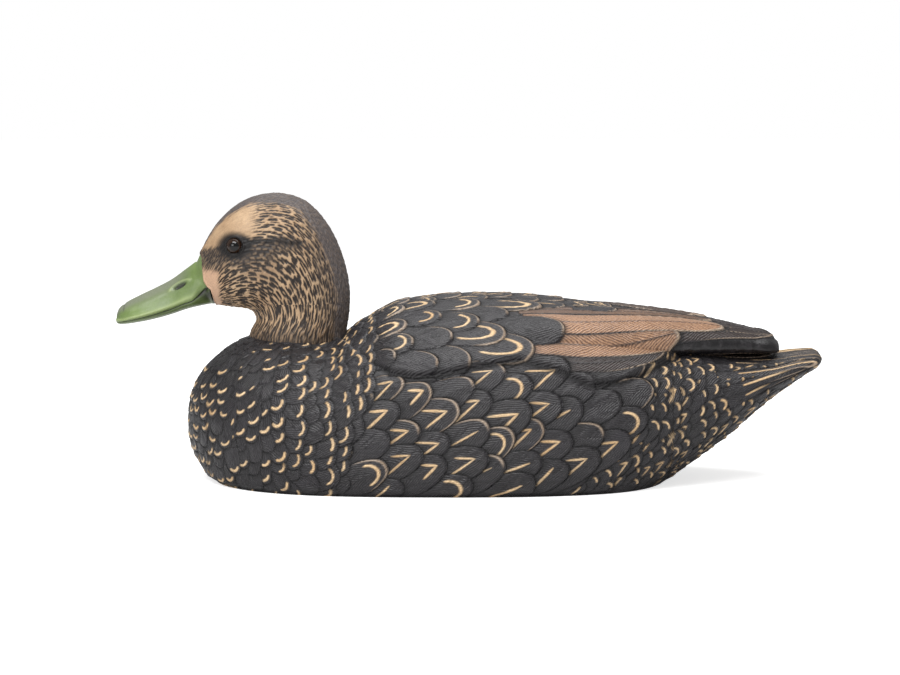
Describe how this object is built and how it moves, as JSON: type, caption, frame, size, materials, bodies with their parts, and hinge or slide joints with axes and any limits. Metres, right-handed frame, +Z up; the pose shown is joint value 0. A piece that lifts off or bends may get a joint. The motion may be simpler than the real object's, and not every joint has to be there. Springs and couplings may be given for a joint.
{
  "type": "floating duck decoy",
  "caption": "Hollow floating duck decoy with a turning head, flat bottom, ballast and foam inside, and a folding line bail.",
  "frame": {"origin": "centre of the overall bounding box, on the flat bottom", "axes": "+Z up, +X from the bill to the tail, +Y to the duck's right side (the side away from a viewer who sees the bill on the left)"},
  "size_m": [0.4196, 0.1722, 0.1711],
  "materials": {
    "hull_plastic": "satin, moulded feather relief, hand-painted",
    "head_plastic": "satin, fine streaks",
    "bill_plastic": "satin",
    "eye_glass": "polished",
    "pan_plastic": "moulded, fine grain",
    "seal_rubber": "smooth",
    "stainless": "plain",
    "ballast_steel": "dipped black",
    "foam": "closed-cell foam",
    "nylon": "smooth"
  },
  "bodies": {
    "hull": {"body_shell": "hull_plastic", "bottom_pan": "pan_plastic", "bottom_gasket": "seal_rubber", "bottom_screws": "stainless", "foam_core": "foam", "neck_cup": "pan_plastic", "ballast_bar": "ballast_steel", "ballast_strap_front": "stainless", "ballast_strap_rear": "stainless", "strap_screws": "stainless", "drain_plug": "pan_plastic", "drain_seal": "seal_rubber", "pivot_seal": "seal_rubber", "friction_disc": "nylon"},
    "head": {"head_shell": "head_plastic", "bill": "bill_plastic", "eye_left": "eye_glass", "eye_right": "eye_glass", "neck_plug": "pan_plastic", "pivot_bolt": "stainless", "pivot_washer": "stainless", "pivot_disc_spring": "stainless", "pivot_nut": "stainless"},
    "bail": {"line_bail": "stainless"}
  },
  "joints": [
    {"name": "head_swivel", "type": "hinge", "parent": "hull", "child": "head", "pos_m": [-0.10124, 0, 0.06499], "axis": [0, 0, 1], "range_deg": [-90, 90]},
    {"name": "bail_swing", "type": "hinge", "parent": "hull", "child": "bail", "pos_m": [-0.11087, 0, 0.0035], "axis": [0, 1, 0], "range_deg": [0, 100]}
  ]
}
